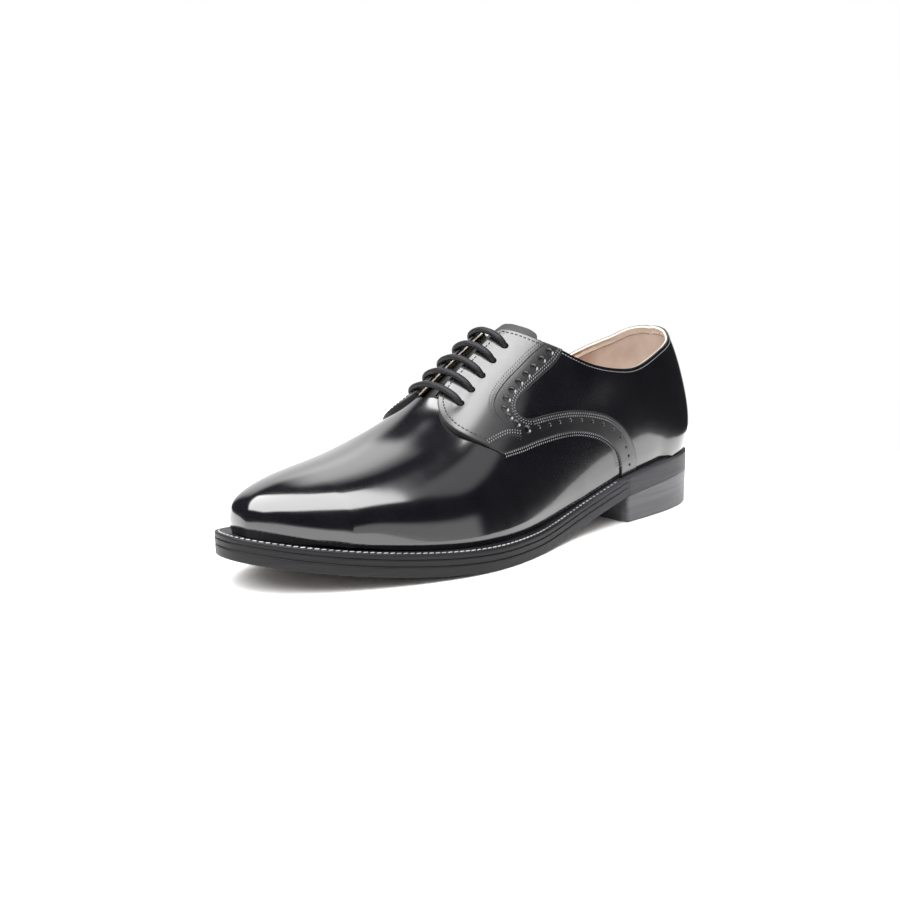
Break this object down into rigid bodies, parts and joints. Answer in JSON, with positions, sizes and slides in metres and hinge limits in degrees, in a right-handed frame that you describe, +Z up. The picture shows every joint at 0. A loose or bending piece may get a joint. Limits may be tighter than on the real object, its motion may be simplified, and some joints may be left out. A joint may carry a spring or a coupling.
{
  "type": "derby shoe",
  "caption": "Plain-toe leather derby shoe for the left foot, laced over a tongue, with a welted leather sole and a stacked heel",
  "frame": {"origin": "on the floor, under the middle of the shoe's bounding box", "axes": "+X from heel to toe along the shoe's length, +Y to the outer side of the foot, +Z up"},
  "size_m": [0.3004, 0.1062, 0.1083],
  "materials": {
    "upper": "highly polished black box calf",
    "tongue": "dull black leather",
    "sole_edge": "satin black sole edge",
    "heel": "satin black stacked leather",
    "insole": "plain tan leather board",
    "lace": "waxed round cotton cord"
  },
  "bodies": {
    "root": {"outsole": "sole_edge", "midsole": "sole_edge", "welt": "sole_edge", "insole": "insole", "top_piece": "heel", "heel_lift_1": "heel", "heel_lift_2": "heel", "upper": "upper", "tongue": "tongue", "lace": "lace"}
  },
  "joints": []
}
